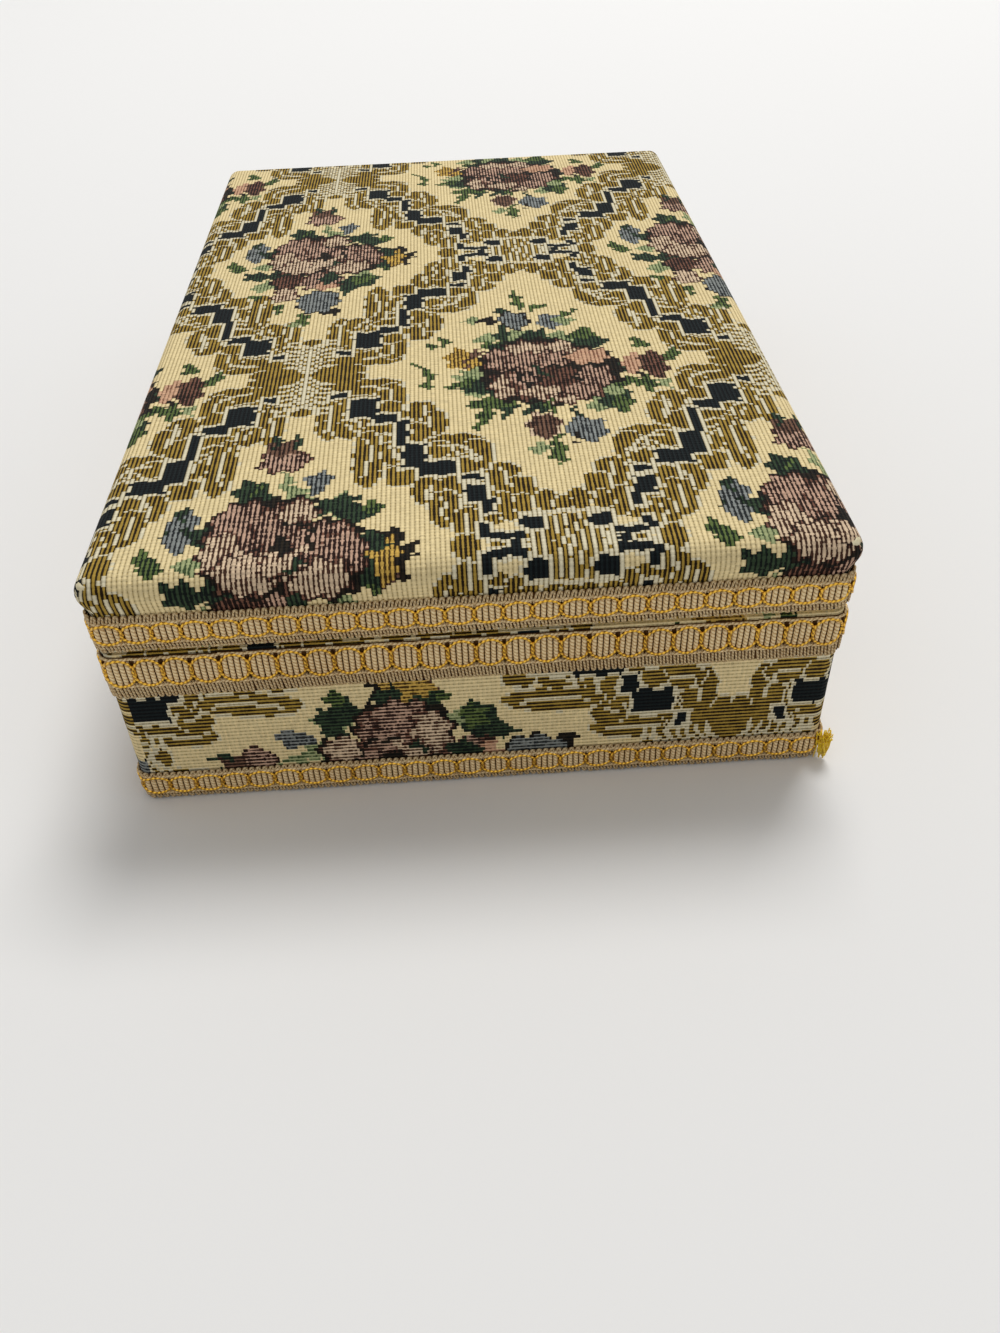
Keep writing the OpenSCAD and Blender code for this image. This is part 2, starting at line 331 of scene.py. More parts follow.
def draw_trellis(paper):
    """Draws the quarter of the trellis between a rosette and a bracket."""
    paper.line("gold", 14.5, *RIBBON_MIDDLE)
    for cx, cy, rx, ry in SCROLLS:
        paper.edged("gold", "pale", 0.5, cx, cy, rx * 1.1, ry * 1.08, 0, 2.3)
    for vein in VEINS:
        paper.line("pale", 1.1, *vein)
    # the rosette: feathers either side of a pale rib
    paper.oval("gold", 0, 0, 7.6, 17, 0, 2.6)
    paper.oval("gold", 7, 6, 4.4, 7, 0)
    for step in range(7):
        y = 1.2 + 2.5 * step
        paper.line("pale", 1.05, (0.4, y), (3.4, y + 3.4), (6.4, y + 4.4))
    paper.line("pale", 0.95, (0, 0), (0, 15))
    # the bracket's middle: feathers between two pale bars
    paper.block("gold", 50, 60, 68.4, 79)
    paper.line("pale", 1.2, (50, 67.4), (60, 67.4))
    for step in range(4):
        x = 51.6 + 2.4 * step
        paper.line("pale", 1.05, (x, 69), (x + 0.6, 73), (x - 0.6, 78))
    for x0, x1, y0, y1 in RIBBON:
        paper.block("pale", x0 - 0.7, x1 + 0.7, y0 - 0.7, y1 + 0.7)
    for x0, x1, y0, y1 in RIBBON:
        paper.block("ribbon", x0 + 0.3, x1 - 0.3, y0 + 0.3, y1 - 0.3)


print(len(SCROLLS), "scrolls in a quarter of the trellis")

# %% [markdown]
# Each bouquet is one open rose with leaves, buds and small blue flowers round it. Ovals are laid
# over each other from the back to the front, as an embroiderer would work them.

# %% The two bouquets


def leaf_wreath(p, cx, cy, rx, ry, count, gap):
    """Pointed leaves that stand out round a rose, with a gap now and then."""
    for k in range(count):
        a = 2 * math.pi * k / count
        if k % gap == 1:
            continue
        kind = ("pine", "leaf", "pine", "mint")[k % 4]
        x, y = cx + rx * math.cos(a), cy + ry * math.sin(a)
        p.oval(kind, x, y, 6, 3, math.degrees(a) + (20 if k % 2 else -25))


def draw_rose_bouquet(p):
    """The bouquet between two rosettes, at its own place on the cloth."""
    p.draw([
        ("pine", 12.5, 98, 2.4, 9), ("mint", 7.6, 98.6, 2.9, 3.8), ("mint", 16.6, 99, 3.2, 4.6),
        ("pine", 22.2, 97.5, 2.2, 6), ("leaf", 27, 98.6, 1.6, 4), ("leaf", 33.4, 97.5, 4.4, 6, -20),
        ("pine", 33.5, 93, 6.4, 2.6, -12), ("blue", "dark", 0.7, 15.8, 109, 3.6, 5.6, 10),
        ("blue", 25.4, 107.4, 3.2, 4.8), ("mint", 29.4, 107.6, 2.8, 3),
        ("leaf", 31, 112.6, 1.3, 4, -50), ("leaf", 17.6, 121.5, 1.7, 7, 8),
        ("leaf", 23, 117.2, 3.6, 1.7, 40), ("mint", 4.4, 110.2, 2.6, 2),
        ("dark", 8.8, 109.6, 2.8, 2.2), ("pine", 13, 115.6, 3, 1.6), ("yellow", 0.6, 87.4, 4, 6),
        ("yellow", 4.6, 84.4, 2.6, 4.4), ("brown", 1.2, (1.2, 82), (3.6, 88), (5.8, 92)),
        ("leaf", 2.4, (-11, 84.6), (-8, 81), (-7.2, 76), (-8.6, 72.6)), ("leaf", -3.4, 98, 1.6, 3.4),
        ("leaf", -6.4, 95, 2.6, 1.5, -20), ("leaf", 2.2, 73.2, 6.4, 2.4, 14),
        ("mint", 3.6, 68, 3.2, 2.2), ("pine", 7.6, 70, 2, 8, 20), ("leaf", 5.6, 62, 4.4, 3.4),
        ("leaf", 5.2, 55, 1.9, 6.4, -18), ("pine", 11.4, 60, 2.2, 5.4, -14),
    ])
    leaf_wreath(p, 23, 78.5, 19, 18.5, 14, 5)
    p.draw([
        ("dark", 20, 80, 14.6, 17.4, 0, 2.6), ("dark", 33, 78, 8.4, 12.6, 0, 2.3),
        ("pine", 36.6, 62, 5.6, 7.4, 20), ("leaf", 39, 60, 2.6, 5.6), ("mint", 37.6, 66, 2.6, 3.6),
        ("mint", 32.2, 59, 2, 4), ("pine", 10.6, 92.4, 2.4, 3.4),
    ])
    # the rose, petal by petal
    for cx, cy, rx, ry, effect in [
        (18.4, 90.4, 5.6, 4.6, "blush"), (27, 90, 3.4, 4.8, "blush"),
        (10.4, 85.4, 3, 5.8, "rose"), (11, 71, 2.8, 6.2, "blush"),
        (17.6, 83.4, 5.2, 5.2, "rose"), (24.6, 84.6, 4, 4, "rose"),
        (17.6, 74.6, 5, 5.4, "rose"), (25.6, 73.6, 5.2, 5.4, "wine"),
        (33.8, 74.4, 4.4, 5.6, "rose"), (20, 66.6, 5.6, 3, "blush"),
        (29.8, 66.6, 4.8, 3.6, "rose"), (24.6, 62.4, 5, 1.6, "blush"),
    ]:
        p.edged(effect, "wine", 0.8, cx, cy, rx, ry, 0, 2.2)
    p.draw([
        ("peach", "dark", 0.9, 33.6, 85.2, 5.6, 4.2, 8),
        ("dark", 1.2, (21, 80.4), (30, 80.6), (36, 79.6)),
        ("dark", 1.1, (14.5, 79), (15.6, 74), (18, 70)), ("dark", 1.1, (29.8, 78), (29.4, 71.6)),
        ("pine", 1.6, (20, 80), (22, 75)), ("dark", 1.1, (16.6, 77.4), (19.4, 76), (20.4, 72.6)),
        ("dark", 1.5, (10, 63.6), (15, 62.6), (21, 60.6), (25, 59)),
        ("dark", 1.4, (38, 79.4), (44, 79.6)),
        # the sprig on the right
        ("dark", 1.2, (43.6, 78), (45.6, 73), (48, 71.6)), ("peach", 44.8, 80.4, 3.2, 5.4),
        ("wine", "brown", 0.8, 49.8, 79.6, 2.8, 7), ("leaf", 47.8, 92, 2.4, 3.6),
        ("leaf", 55, 84.4, 1.8, 4.8, -28), ("leaf", 46.8, 68.6, 2, 4.8), ("mint", 51, 68.6, 1.8, 3),
        # below the rose
        ("leaf", 2, (21.4, 62), (21.8, 50), (21.6, 34.6)), ("leaf", 21.4, 38, 2, 6),
        ("mint", 17.6, 40.4, 2.4, 3.2, -30), ("brown", "blush", 0.6, 19.2, 50.4, 3.6, 5.4),
        ("blue", 28.8, 47.6, 4.8, 6), ("dark", 26.4, 44.4, 0.9, 2.4), ("pine", 27.2, 55.6, 0.9, 3.4),
    ])


def draw_bud_bouquet(p):
    """The bouquet between two brackets, at its own place on the cloth."""
    p.draw([
        ("pine", -47.4, 184, 4, 6), ("leaf", -46, 183, 1.2, 5.4), ("mint", -39.6, 187, 1.2, 5.4),
        ("rose", "wine", 0.7, -41, 196.6, 5.2, 4.6), ("brown", -42, 202, 4.6, 3.4),
        ("pine", -43.4, 205, 1.2, 2.8), ("pine", -38.4, 204.6, 1, 3), ("blue", -32.6, 186.4, 2.8, 4.4),
        ("mint", -27.4, 177, 2.4, 5.2), ("pine", -24, 174.4, 5.4, 4.4, -20),
        ("leaf", -20.4, 175.4, 2.4, 3), ("blue", "pine", 0.6, -60.6, 170.6, 3.6, 7.4),
        ("pine", -61.6, 177, 1.2, 2.8), ("leaf", -66, 160.4, 2.4, 5.4, 30),
        ("pine", -59, 151.8, 5.2, 3.4, -28), ("mint", -56, 143.4, 3.6, 4.6),
        ("leaf", -57.8, 136, 1.6, 3), ("leaf", -50, 126.4, 1.8, 3.4),
        ("yellow", "brown", 0.8, -18, 159.6, 4, 7.2),
        ("dark", 1.6, (-21, 166), (-15.4, 167), (-13.6, 160), (-14.6, 153), (-12, 162), (-11.4, 158)),
        ("leaf", -20, 151.6, 2.4, 2.4), ("pine", -27.6, 142.4, 6.8, 5.2, 24),
        ("leaf", -26.4, 143.6, 4.2, 3.2, 24), ("pine", -31, 137.6, 2, 4.6),
        ("wine", "dark", 0.8, -49.4, 147.4, 4.4, 6.4), ("rose", "wine", 0.7, -39, 145, 6, 6.2),
        ("peach", -37.4, 141, 3, 3.2), ("blush", "wine", 0.6, -49.2, 136, 3.4, 4.6),
        ("blue", "dark", 0.6, -39, 129.4, 5.8, 7.6), ("dark", -34.6, 121.4, 2.6, 2),
        ("leaf", -42.6, 117.4, 2.2, 4.6), ("mint", -44.4, 115, 1.2, 2.8),
    ])
    # the rose
    leaf_wreath(p, -38.5, 164, 17.5, 16.5, 13, 4)
    p.draw([
        ("dark", -44.2, 166, 11.8, 15.6, 0, 2.6), ("dark", -29.4, 160.6, 8.4, 12.2, 0, 2.2),
        ("dark", -36.6, 176.4, 4.8, 5.6),
    ])
    for cx, cy, rx, ry, effect in [
        (-47.6, 171.4, 6.4, 8.4, "rose"), (-51.4, 162.4, 4, 6.6, "blush"),
        (-45.6, 156.6, 6.4, 5, "blush"), (-40.6, 170.6, 4.6, 7.4, "rose"),
        (-36.4, 175.6, 3.6, 4.2, "blush"), (-30.6, 165.6, 6.2, 5.4, "rose"),
        (-26.4, 160.6, 4.8, 6.8, "rose"), (-31.4, 154.4, 6.6, 4.4, "blush"),
        (-38.4, 158.4, 4.6, 3.2, "blush"),
    ]:
        p.edged(effect, "wine", 0.75, cx, cy, rx, ry, 0, 2.2)
    p.draw([
        ("dark", -39.2, 164.2, 1.7, 3), ("dark", 1.2, (-39, 172), (-33.6, 169.6), (-33, 163)),
        ("blush", 1.6, (-42, 162), (-38.6, 159.6), (-34.4, 162.6)),
        ("pine", 1.6, (-37, 156.4), (-34.6, 158.6)),
    ])


# %% [markdown]
# The pattern repeats across the cloth and along it. Each place is moved into one repeat, where the
# trellis is looked up first, and the two bouquets are laid over it.

# %% The whole cloth
ROSETTE = (-38.6, 82.5)
ROSE_AT = (22.0, 82.0)
BUD_AT = (-38.0, 162.0)


def near(value, centre, tile):
    """value, moved by whole tiles to lie next to centre."""
    return centre + (value - centre + tile / 2) % tile - tile / 2


def weave(x, y):
    """The effect of each stitch of the brocade, for places in mm on the cloth."""
    dx = np.abs(near(x, ROSETTE[0], TILE_W) - ROSETTE[0])
    dy = np.abs(near(y, ROSETTE[1], TILE_L) - ROSETTE[1])
    trellis = Paper(dx, dy, 0.35)
    draw_trellis(trellis)
    codes = trellis.codes
    for draw, centre in ((draw_rose_bouquet, ROSE_AT), (draw_bud_bouquet, BUD_AT)):
        bouquet = Paper(near(x, centre[0], TILE_W), near(y, centre[1], TILE_L), 1.0)
        draw(bouquet)
        codes = np.where(bouquet.codes > 0, bouquet.codes, codes)
    return codes


# %% [markdown]
# The cloth is a mesh with one face for each stitch, so the pattern has the stepped edges of a real
# weave. Every face keeps its two yarn colours and the share of the dark one. The shader then draws
# the ribs with painted shading on their round backs, painted shade in the holes between the threads,
# and the dark yarn in the grooves, partly painted shade, inside each stitch.

# %% The brocade material


def brocade_material():
    made, s, surface = new_material("brocade", 0.8, 0.0, 0.0, 0.08)
    light = s.node("Attribute", {"attribute_name": "light_yarn"}).outputs["Color"]
    dark = s.node("Attribute", {"attribute_name": "dark_yarn_and_groove_shade"}).outputs["Color"]
    share = Shade(s.tree, s.node("Attribute", {"attribute_name": "dark_share"}).outputs["Fac"])
    cloth, across, along = s.uv("cloth")
    rib = across.wave(1.0)
    weft = along.wave(0.5)
    fuzz = s.noise(cloth, 1.7, 3)
    patch = s.noise(cloth, 0.03)
    edge = rib + (fuzz - 0.5) * 0.35
    groove = 1 - edge.ramp(share - 0.12, share + 0.12)
    hole = (1 - rib.ramp(0.10, 0.42)) * (1 - weft.ramp(0.12, 0.45))
    # the dark yarn fills the groove beside each rib, so its colour is partly painted shade
    tint = mix(s, light, dark, groove)
    # painted shading: each rib is painted lighter on its round back; fuzz and patch vary the tone at
    # random
    shade = 0.88 + 0.13 * rib.ramp(0, 1) * (0.7 + 0.3 * weft)
    shade = shade + (fuzz - 0.5) * 0.26 + (patch - 0.5) * 0.10
    # painted shade in the holes between the threads
    shade = shade * (1 - 0.3 * hole)
    scaled = s.node("VectorMath", {"operation": "SCALE"}, i0=tint, Scale=shade)
    put(s.tree, surface.inputs["Base Color"], scaled.outputs[0])
    height = rib.ramp(0, 0.9) * 0.7 + weft * 0.3 - groove * 0.5 - hole * 0.4 + fuzz * 0.2
    bump(s, surface, height, 0.0004, 0.6)
    return made


BROCADE = brocade_material()
print("the brocade's shader has", len(BROCADE.node_tree.nodes), "nodes")

# %% [markdown]
# A real cover is cut and folded. Here it is grids of stitches, welded where they meet. Whole arrays
# of points make almost 200,000 stitches in a moment, where a loop would need minutes.

# %% Cloth helpers


def paint_cloth(mesh, at, codes, seed):
    """Writes each face's yarns. A little of each yarn's dye changes from stitch to stitch."""
    rng = np.random.default_rng(seed)
    light, dark = (
        np.array([sunlit(*EFFECTS[n][which])[:3] for n in NAMES])[codes] for which in (0, 1)
    )
    share = np.array([EFFECTS[n][2] for n in NAMES])[codes]
    flowers = codes >= CODE["rose"]
    streak = np.sin(0.9 * at[:, 0] + 1.7 * np.sin(0.31 * at[:, 1]))
    streak = streak * np.sin(0.23 * at[:, 1] + 1.3 * np.sin(0.7 * at[:, 0]))
    share = share + streak * np.where(flowers, 0.2, np.where(codes == CODE["gold"], 0.14, 0.0))
    share = share + rng.normal(0, 0.17, codes.shape) * flowers + rng.normal(0, 0.04, codes.shape)
    dye = 1 + rng.normal(0, 0.10, (*codes.shape, 1)) * np.where(flowers, 1.0, 0.5)[..., None]
    for name, values in (("light_yarn", light * dye), ("dark_yarn_and_groove_shade", dark * dye)):
        colours = np.ones((*codes.shape, 4), np.float32)
        colours[..., :3] = np.clip(values, 0, 1)
        mesh.attributes.new(name, "FLOAT_COLOR", "FACE").data.foreach_set("color", colours.ravel())
    mesh.attributes.new("dark_share", "FLOAT", "FACE").data.foreach_set(
        "value", np.clip(share, 0.02, 0.95).astype(np.float32).ravel()
    )


def make_mesh(name, verts, faces, uvs=None, smooth=True):
    """A mesh object from arrays, in metres, with named UV maps given for every face corner."""
    mesh = bpy.data.meshes.new(name)
    mesh.from_pydata([tuple(v) for v in verts], [], faces)
    for map_name, values in (uvs or {}).items():
        mesh.uv_layers.new(name=map_name).data.foreach_set(
            "uv", np.asarray(values, np.float32).ravel()
        )
    mesh.polygons.foreach_set("use_smooth", [smooth] * len(mesh.polygons))
    mesh.update()
    return add_object(name, mesh)


def face_outward(mesh):
    """Turns every closed shell's faces outward."""
    solid = bmesh.new()
    solid.from_mesh(mesh)
    bmesh.ops.recalc_face_normals(solid, faces=solid.faces)
    solid.to_mesh(mesh)
    solid.free()


def grid_lines(low, high, step, origin):
    """Where the threads cross between low and high, with both ends."""
    first = math.ceil((low - origin) / step + 1e-6)
    last = math.floor((high - origin) / step - 1e-6)
    inner = origin + step * np.arange(first, last + 1)
    return np.concatenate(([low], inner, [high]))


class Patchwork:
    """Collects grids of stitches, each a patch of the cloth, and welds what meets."""

    def __init__(self):
        self.verts, self.faces, self.cloth, self.codes = [], [], [], []
        self.count = 0

    def add(self, points, u, v, codes, flip=False):
        """points is rows by columns by 3, u and v the stitch coordinates at the same places."""
        rows, cols = points.shape[:2]
        ids = self.count + np.arange(rows * cols).reshape(rows, cols)
        a, b, c, d = ids[:-1, :-1], ids[:-1, 1:], ids[1:, 1:], ids[1:, :-1]
        order = (a, d, c, b) if flip else (a, b, c, d)
        self.faces.append(np.stack(order, -1).reshape(-1, 4))
        uv = np.stack([u, v], -1).reshape(-1, 2)
        self.cloth.append(uv)
        self.verts.append(points.reshape(-1, 3))
        self.codes.append(codes.ravel())
        self.count += rows * cols

    def build(self, name, seed):
        verts = np.concatenate(self.verts)
        faces = np.concatenate(self.faces)
        uv = np.concatenate(self.cloth)[faces]
        keys = np.round(verts / 0.002).astype(np.int64)
        _, first, back = np.unique(keys, axis=0, return_index=True, return_inverse=True)
        back = back.ravel()
        made = make_mesh(name, verts[first] * MM, back[faces].tolist(), {"cloth": uv})
        paint_cloth(made.data, uv.mean(1), np.concatenate(self.codes), seed)
        made.data.materials.append(BROCADE)
        face_outward(made.data)
        print(name, "has", len(faces), "stitches")
        return made


# %% [markdown]
# The lid's cloth runs over the padded top and down all four flanks in one piece. A sharp box is
# wrapped in stitches first, and each point is then pulled onto a rounded, crowned form, so that
# the weave stays even over the soft edge.

# %% The lid's cover
EDGE_R = 4.2
FLANK_TOP = TOP_Z - 2.0
# how far the cloth is turned in, and how thick it is
TURNED = 3.8
THICK = 0.8
CROWN_POWER = 2.2
WIDE = HALF_W + BULGE
LONG = HALF_L + BULGE
# on the cloth: an eighth of a turn over the edge, the flat part's half sizes, and the sharp edges
EIGHTH = EDGE_R * math.pi / 4
FLAT_X = WIDE - EDGE_R
FLAT_Y = LONG - EDGE_R
EDGE_X = FLAT_X + EIGHTH
EDGE_Y = FLAT_Y + EIGHTH
# where the round edge ends on the flanks, and where the braid draws them in
ARC_Z = FLANK_TOP - EDGE_R
DRAWN_IN = BRAID_TOP - 1
# the pattern's y starts at the near edge
NEAR_EDGE = -HALF_L


def crown(rise):
    """The padding's height above its edge, as rise goes from 0 at the edge to 1 at the middle."""
    return (TOP_Z - FLANK_TOP) * (1 - (1 - rise) ** CROWN_POWER)


def soft_box(x, y, z):
    """Pulls points of a sharp box onto the padded lid. x, y, z run to the sharp edges."""
    qx = np.clip(x, -FLAT_X, FLAT_X)
    qy = np.clip(y, -FLAT_Y, FLAT_Y)
    qz = np.minimum(z, ARC_Z)
    d = np.stack([x - qx, y - qy, z - qz], -1)
    d = d / np.maximum(np.linalg.norm(d, axis=-1, keepdims=True), 1e-9)
    out = np.stack([qx, qy, qz], -1) + EDGE_R * d
    # the flank is drawn in towards the braid
    t = np.clip((qz - DRAWN_IN) / (ARC_Z - DRAWN_IN), 0, 1)
    draw = BULGE * (1 - t * t * (3 - 2 * t)) * np.hypot(d[..., 0], d[..., 1])
    out[..., 0] -= np.sign(d[..., 0]) * draw * (np.abs(d[..., 0]) > 0.3)
    out[..., 1] -= np.sign(d[..., 1]) * draw * (np.abs(d[..., 1]) > 0.3)
    # the crown of the padding, and slow waves of the stuffing
    inset = np.minimum(WIDE - np.abs(out[..., 0]), LONG - np.abs(out[..., 1]))
    rise = np.clip(inset / WIDE, 0, 1)
    waves = 0.16 * np.sin(out[..., 0] / 17 + 1.3) * np.sin(out[..., 1] / 23 + 0.4)
    out[..., 2] += (crown(rise) + waves * np.clip(rise * 6, 0, 1)) * (d[..., 2] > 0.05)
    return out


def ring_points(at, normal, r, inward):
    """A rounded rectangle's points, moved inward, with corners that stay at least 0.3 mm round."""
    core = at - r * normal
    left = max(r - inward, 0.3)
    scale = [(h - inward - left) / (h - r) for h in (HALF_W, HALF_L)]
    return core * np.array(scale) + left * normal


def arc_coordinate(s, flat):
    """A sharp box's coordinate for the distance s along the cloth, from the middle."""
    over = np.clip(np.abs(s) - flat, 0, None) / EDGE_R
    return np.sign(s) * (np.minimum(np.abs(s), flat) + EDGE_R * np.tan(np.minimum(over, math.pi / 4)))


def middles(values):
    return (values[1:] + values[:-1]) / 2


def flank_rows(step):
    """How far down the cloth each row of a flank lies, and its height on the sharp box."""
    bottom = ARC_Z + EIGHTH - DRAWN_IN
    hem = bottom + DRAWN_IN - LID_Z
    depth = np.concatenate((grid_lines(0, bottom, step, 0), [(bottom + hem) / 2, hem]))
    rise = EDGE_R * np.tan(np.clip((EIGHTH - depth) / EDGE_R, 0, math.pi / 4))
    return depth, np.where(depth < EIGHTH, ARC_Z + rise, ARC_Z - (depth - EIGHTH))


def turned_hem(xs, ys):
    """Rings that turn the hem in below, run up inside and in over the foam, to a small hole."""
    rim_x = np.concatenate((arc_coordinate(xs, FLAT_X), np.full(len(ys) - 1, WIDE)))
    rim_y = np.concatenate((np.full(len(xs), -LONG), arc_coordinate(ys, FLAT_Y)[1:]))
    rim_x = np.concatenate((rim_x, -rim_x[1:]))
    rim_y = np.concatenate((rim_y, -rim_y[1:]))
    start = soft_box(rim_x, rim_y, np.full(rim_x.shape, LID_Z))
    core = np.stack([np.clip(rim_x, -FLAT_X, FLAT_X), np.clip(rim_y, -FLAT_Y, FLAT_Y)], -1)
    corner = EDGE_R - BULGE
    normal = (start[:, :2] - core) / corner
    rings = [start]
    inside = ((TURNED, LID_Z), (TURNED, LID_Z + THICK), (THICK, LID_Z + THICK), (THICK, ARC_Z))
    for inward, z in inside:
        flat = ring_points(start[:, :2], normal, corner, inward)
        rings.append(np.concatenate((flat, np.full((len(flat), 1), z)), 1))
    for share in (0.99, 0.96, 0.9, 0.8, 0.65, 0.45, 0.2, 0.02):
        flat = rings[4][:, :2] * share
        inset = np.minimum(HALF_W - np.abs(flat[:, 0]), HALF_L - np.abs(flat[:, 1]))
        edge = np.sqrt(np.clip(1 - (1 - np.clip((1 - share) * 25, 0, 1)) ** 2, 0, 1))
        z = ARC_Z + (EDGE_R - 1.0) * edge + crown(np.clip(inset / WIDE, 0, 1))
        rings.append(np.concatenate((flat, z[:, None]), 1))
    return np.stack(rings)


def lid_cover():
    patches = Patchwork()
    xs = grid_lines(-EDGE_X, EDGE_X, STITCH, 0.0)
    ys = grid_lines(-EDGE_Y, EDGE_Y, ROW, NEAR_EDGE)
    # the top
    gx, gy = np.meshgrid(arc_coordinate(xs, FLAT_X), arc_coordinate(ys, FLAT_Y))
    top = soft_box(gx, gy, np.full(gx.shape, FLANK_TOP))
    mx, my = np.meshgrid(middles(xs), middles(ys))
    u, v = np.meshgrid(xs / STITCH, ys / ROW)
    patches.add(top, u, v, weave(mx, my - NEAR_EDGE))
    # four flanks: along each short side, then along each long one, with x and y changed over
    for side in (-1, 1):
        for lines, flat, edge, wall, step, row, long_side in (
            (xs, FLAT_X, EDGE_Y, LONG, STITCH, ROW, False),
            (ys, FLAT_Y, EDGE_X, WIDE, ROW, STITCH, True),
        ):
            depth, height = flank_rows(row)
            gx, gz = np.meshgrid(arc_coordinate(lines, flat), height)
            gy = np.full(gx.shape, side * wall)
            mx, my = np.meshgrid(middles(lines), side * (edge + middles(depth)))
            u, v = np.meshgrid(lines / step, side * (edge + depth) / row)
            if long_side:
                gx, gy, mx, my, u, v = gy, gx, my, mx, v, u
            flip = (side > 0) == long_side
            patches.add(soft_box(gx, gy, gz), u, v, weave(mx, my - NEAR_EDGE), flip)
    # the hem and the back
    points = turned_hem(xs, ys)
    rows, cols = points.shape[:2]
    u = np.broadcast_to(np.arange(cols) * 0.01, (rows, cols))
    v = np.broadcast_to(np.arange(rows)[:, None] * 0.01, (rows, cols))
    patches.add(points, u, v, np.zeros((rows - 1, cols - 1), np.int32))
    return patches.build("lid_brocade", 11)


lid_cloth = lid_cover()
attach(lid_cloth, "lid")
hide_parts("lid_cover_cloth")

# %% [markdown]
# The base is wrapped in a strip of the same cloth, turned a quarter, so its ribs lie flat. The
# strip climbs a little towards the left of the near end, where it was pulled.

# %% The base's cover
CORNER_R = 3.0
CORE_X = HALF_W - CORNER_R
CORE_Y = HALF_L - CORNER_R
BEND = math.pi * CORNER_R / 2
LENGTHS = [2 * CORE_X, BEND, 2 * CORE_Y, BEND] * 2
ROUND = sum(LENGTHS)
print("once round the box is", round(ROUND, 1), "mm")


def outline_at(s):
    """Points and outward normals at distance s round the box, from the front left corner."""
    s = np.asarray(s) % ROUND
    at, normal = np.zeros((len(s), 2)), np.zeros((len(s), 2))
    corners = [(CORE_X, -CORE_Y), (CORE_X, CORE_Y), (-CORE_X, CORE_Y), (-CORE_X, -CORE_Y)]
    starts = [(-CORE_X, -HALF_L), (HALF_W, -CORE_Y), (CORE_X, HALF_L), (-HALF_W, CORE_Y)]
    begun = 0.0
    for part, length in enumerate(LENGTHS):
        side, bent = divmod(part, 2)
        heading = side * math.pi / 2
        here = (s >= begun) & (s < begun + length + 1e-9)
        t = (s[here] - begun)[:, None]
        if bent:
            a = heading - math.pi / 2 + t / CORNER_R
            normal[here] = np.concatenate((np.cos(a), np.sin(a)), 1)
            at[here] = corners[side] + CORNER_R * normal[here]
        else:
            normal[here] = (math.sin(heading), -math.cos(heading))
            at[here] = starts[side] + t * (math.cos(heading), math.sin(heading))
        begun += length
    return at, normal


def base_cover():
    """The base's cloth: up the walls, in over their tops and down behind, closed at the foot."""
    patches = Patchwork()
    s = np.linspace(0, ROUND, round(ROUND / ROW) + 1)
    low = 0.6
    zs = grid_lines(low, BASE_H, STITCH, low)
    at, normal = outline_at(s)
    levels = [(z, 0.0) for z in zs] + [(BASE_H, f) for f in (1.0, 2.0, 3.0, TURNED)]
    levels += [(BASE_H - THICK, TURNED), (BASE_H - THICK, THICK), (low, THICK), (low, 0.0)]
    points = np.zeros((len(levels), len(s), 3))
    for k, (z, inward) in enumerate(levels):
        points[k, :, :2] = ring_points(at, normal, CORNER_R, inward)
        points[k, :, 2] = z
    # the pattern's rosette lies low, right of the middle, and the cloth is stretched a little
    rosette_x, stretch = 57.5, 0.96
    climb, reach, elsewhere = 6.5, 132.5, 7.0
    across = middles(s) - CORE_X
    slope = np.clip((rosette_x - across) / reach, 0, 1.1)
    near_end = (across > -HALF_W) & (across < HALF_W)
    lift = np.where(near_end, climb + climb * slope ** 2, elsewhere)
    heights = np.array([z + inward for z, inward in levels])
    mu = ROSETTE[0] + middles(heights)[:, None] - lift[None, :]
    mv = np.broadcast_to(ROSETTE[1] + (rosette_x - across) / stretch, mu.shape)
    u, v = np.meshgrid(s / ROW, heights / STITCH)
    patches.add(points, v, u, weave(mu, mv))
    return patches.build("base_brocade", 12)


base_cloth = base_cover()
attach(base_cloth, "base")
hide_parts("base_cover_cloth")

# %% [markdown]
# The braid is gimp: a gold cord laid in a chain of loops over fat cotton cords, with scallops of
# cotton along both edges. One loop's worth is modelled. A Geometry Nodes row repeats it to the
# length of the way round the box, and the straight strip is then bent round the corners.

# %% Threads
# marks for the dark band behind the loops, a sheet of painted shade, and for the scallops,
# on the thread map's second coordinate
SHADE_BAND_MARK = 1.5
SCALLOP = 10.0


def ring_faces(sides, rings, closed=False):
    """Faces between rings of vertices, with a cap on each end unless the last joins the first."""
    faces = []
    for i in range(rings if closed else rings - 1):
        here, there = i * sides, (i + 1) % rings * sides
        for j in range(sides):
            k = (j + 1) % sides
            faces.append((here + j, here + k, there + k, there + j))
    if not closed:
        last = (rings - 1) * sides
        faces += [tuple(range(sides))[::-1], tuple(range(last, last + sides))]
    return faces


